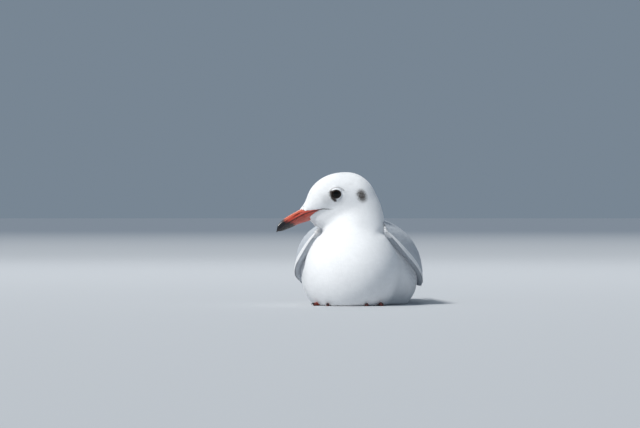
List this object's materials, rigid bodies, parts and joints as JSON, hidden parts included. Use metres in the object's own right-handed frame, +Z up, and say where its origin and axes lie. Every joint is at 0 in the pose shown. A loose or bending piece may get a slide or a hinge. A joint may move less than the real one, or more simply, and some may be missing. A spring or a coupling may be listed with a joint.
{
  "type": "black-headed gull in winter plumage, sitting",
  "caption": "Life-size still model of a small gull in winter plumage, resting on its belly with its wings folded and its head turned to its right.",
  "frame": {"origin": "on the floor, in the middle of the flat that the belly rests on", "axes": "+Z up, the tail towards +Y, the breast towards -Y, the bird's left side towards +X"},
  "size_m": [0.1038, 0.3028, 0.1023],
  "materials": {
    "white_plumage": "soft white feathers",
    "grey_plumage": "soft pearl-grey feathers",
    "pale_plumage": "grey feathers with pale tips",
    "black_plumage": "black flight feathers with a faint sheen",
    "bill": "smooth orange-red horn with a black tip",
    "legs": "dark red scaled skin",
    "eyes": "wet, dark brown"
  },
  "bodies": {
    "root": {"head": "white_plumage", "bill_upper": "bill", "bill_lower": "bill", "eye_left": "eyes", "eye_right": "eyes", "neck": "white_plumage", "breast": "white_plumage", "trunk": "grey_plumage", "rump": "white_plumage", "tail": "white_plumage", "wing_left_coverts": "grey_plumage", "wing_left_tertials": "pale_plumage", "wing_left_primaries": "black_plumage", "wing_right_coverts": "grey_plumage", "wing_right_tertials": "pale_plumage", "wing_right_primaries": "black_plumage", "leg_left": "legs", "leg_right": "legs", "foot_left": "legs", "foot_right": "legs"}
  },
  "joints": []
}
